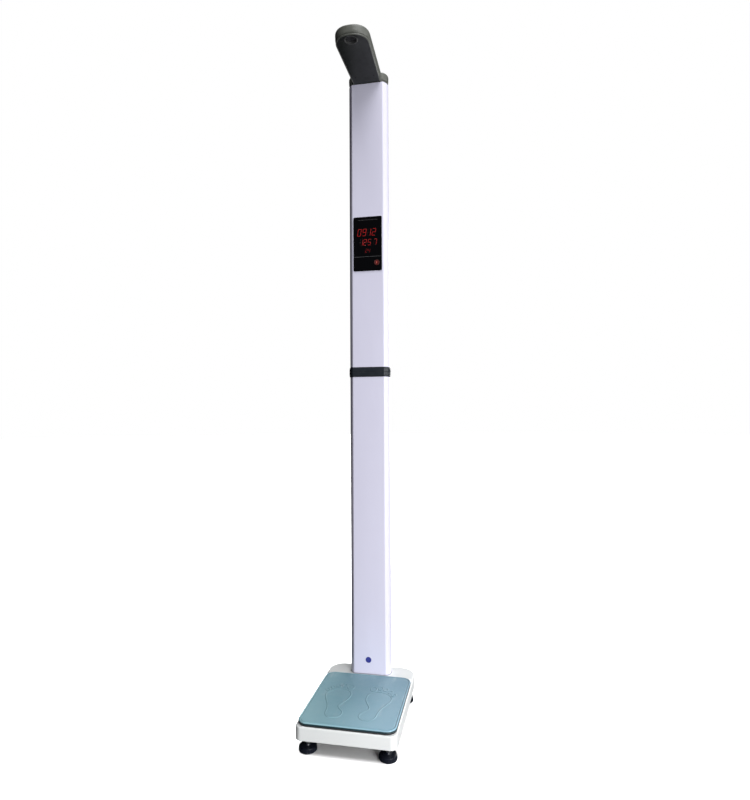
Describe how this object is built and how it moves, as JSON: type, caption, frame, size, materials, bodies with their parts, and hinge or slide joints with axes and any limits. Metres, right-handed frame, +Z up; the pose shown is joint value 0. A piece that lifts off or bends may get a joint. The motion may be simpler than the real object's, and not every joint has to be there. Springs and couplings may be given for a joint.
{
  "type": "ultrasonic height and weight scale",
  "caption": "Free-standing weighing platform with a footprint mat, a folding column with a digital display, and an overhead arm that measures height by ultrasound.",
  "frame": {"origin": "on the floor, below the middle of the bounding box", "axes": "+Z up, the user stands on the -Y side facing +Y, +X to the right of someone looking at the display"},
  "size_m": [0.312, 0.444, 2.28],
  "materials": {
    "column_white": "fine powder coat, cool white",
    "casing_white": "satin white moulding",
    "charcoal_abs": "fine-textured charcoal moulding",
    "mat_teal": "embossed grey-teal mat",
    "pan_teal": "dark teal paint",
    "black_acrylic": "polished black acrylic",
    "black_plastic": "moulded black",
    "black_rubber": "dull black",
    "led_red": "red LED digits",
    "key_red": "translucent red key",
    "switch_black": "satin black rocker",
    "steel": "zinc-plated",
    "aluminium": "milled",
    "board_green": "solder mask",
    "badge_blue": "plain printed disc",
    "magnet_nickel": "nickel plate",
    "transducer_grey": "dark anodised can"
  },
  "bodies": {
    "root": {"base_casing": "casing_white", "chassis_plate": "steel", "cell_spacer_lower": "steel", "load_cell": "aluminium", "cell_spacer_upper": "steel", "pan_spider": "steel", "adc_board": "board_green", "dust_seal": "black_rubber", "pan_buffer_1": "black_rubber", "pan_buffer_2": "black_rubber", "pan_buffer_3": "black_rubber", "pan_buffer_4": "black_rubber", "lock_nut_front_left": "steel", "lock_nut_front_right": "steel", "lock_nut_rear_left": "steel", "lock_nut_rear_right": "steel", "column_socket": "steel", "lower_column": "column_white", "lower_collar": "charcoal_abs", "hinge_pin": "steel", "catch_magnet": "magnet_nickel", "power_inlet": "black_plastic", "switch_housing": "black_plastic", "column_badge": "badge_blue", "lower_loom": "black_rubber", "column_bolt_1": "steel", "column_bolt_2": "steel", "column_bolt_3": "steel", "column_bolt_4": "steel"},
    "upper_column_assembly": {"upper_collar": "charcoal_abs", "catch_plate": "steel", "upper_column": "column_white", "display_loom": "black_rubber", "sensor_loom": "black_rubber", "display_tray": "black_plastic", "display_window": "black_acrylic", "display_board": "board_green", "digit_row_top": "led_red", "digit_row_middle": "led_red", "digit_row_bottom": "led_red", "tact_switch": "black_plastic", "head_cover": "charcoal_abs", "head_shell": "charcoal_abs", "transducer_ring": "black_rubber", "transducer": "transducer_grey", "sensor_board": "board_green", "head_screw_1": "steel", "head_screw_2": "steel"},
    "pan_assembly": {"pan": "pan_teal", "mat": "mat_teal"},
    "display_key": {"display_key": "key_red"},
    "power_rocker": {"power_rocker": "switch_black"},
    "foot_pad_front_left": {"foot_pad_front_left": "black_plastic"},
    "foot_stud_front_left": {"foot_stud_front_left": "steel"},
    "foot_pad_front_right": {"foot_pad_front_right": "black_plastic"},
    "foot_stud_front_right": {"foot_stud_front_right": "steel"},
    "foot_pad_rear_left": {"foot_pad_rear_left": "black_plastic"},
    "foot_stud_rear_left": {"foot_stud_rear_left": "steel"},
    "foot_pad_rear_right": {"foot_pad_rear_right": "black_plastic"},
    "foot_stud_rear_right": {"foot_stud_rear_right": "steel"}
  },
  "joints": [
    {"name": "column_fold", "type": "hinge", "parent": "root", "child": "upper_column_assembly", "pos_m": [0, 0.2145, 1.17915], "axis": [-1, 0, 0], "range_deg": [0, 180]},
    {"name": "pan_lift", "type": "slide", "parent": "root", "child": "pan_assembly", "axis": [0, 0, 1], "range_m": [0, 0.05]},
    {"name": "key_press", "type": "slide", "parent": "upper_column_assembly", "child": "display_key", "axis": [0, 1, 0], "range_m": [0, 0.0012], "stiffness_N_per_m": 400, "springref_m": -0.002},
    {"name": "power_rock", "type": "hinge", "parent": "root", "child": "power_rocker", "pos_m": [0.025, 0.203, 0.26], "axis": [1, 0, 0], "range_deg": [-16, 0]},
    {"name": "foot_height_front_left", "type": "slide", "parent": "root", "child": "foot_pad_front_left", "axis": [0, 0, -1], "range_m": [-0.006, 0.012]},
    {"name": "foot_turn_front_left", "type": "hinge", "parent": "foot_pad_front_left", "child": "foot_stud_front_left", "pos_m": [-0.1247, -0.183, 0.04], "axis": [0, 0, -1], "range_deg": [-1440, 2880]},
    {"name": "foot_height_front_right", "type": "slide", "parent": "root", "child": "foot_pad_front_right", "axis": [0, 0, -1], "range_m": [-0.006, 0.012]},
    {"name": "foot_turn_front_right", "type": "hinge", "parent": "foot_pad_front_right", "child": "foot_stud_front_right", "pos_m": [0.1247, -0.183, 0.04], "axis": [0, 0, -1], "range_deg": [-1440, 2880]},
    {"name": "foot_height_rear_left", "type": "slide", "parent": "root", "child": "foot_pad_rear_left", "axis": [0, 0, -1], "range_m": [-0.006, 0.012]},
    {"name": "foot_turn_rear_left", "type": "hinge", "parent": "foot_pad_rear_left", "child": "foot_stud_rear_left", "pos_m": [-0.1247, 0.172, 0.04], "axis": [0, 0, -1], "range_deg": [-1440, 2880]},
    {"name": "foot_height_rear_right", "type": "slide", "parent": "root", "child": "foot_pad_rear_right", "axis": [0, 0, -1], "range_m": [-0.006, 0.012]},
    {"name": "foot_turn_rear_right", "type": "hinge", "parent": "foot_pad_rear_right", "child": "foot_stud_rear_right", "pos_m": [0.1247, 0.172, 0.04], "axis": [0, 0, -1], "range_deg": [-1440, 2880]}
  ],
  "couplings": [
    {"joint": "foot_turn_front_left", "follows": "foot_height_front_left", "rad_per_m": 4188.8},
    {"joint": "foot_turn_front_right", "follows": "foot_height_front_right", "rad_per_m": 4188.8},
    {"joint": "foot_turn_rear_left", "follows": "foot_height_rear_left", "rad_per_m": 4188.8},
    {"joint": "foot_turn_rear_right", "follows": "foot_height_rear_right", "rad_per_m": 4188.8}
  ]
}
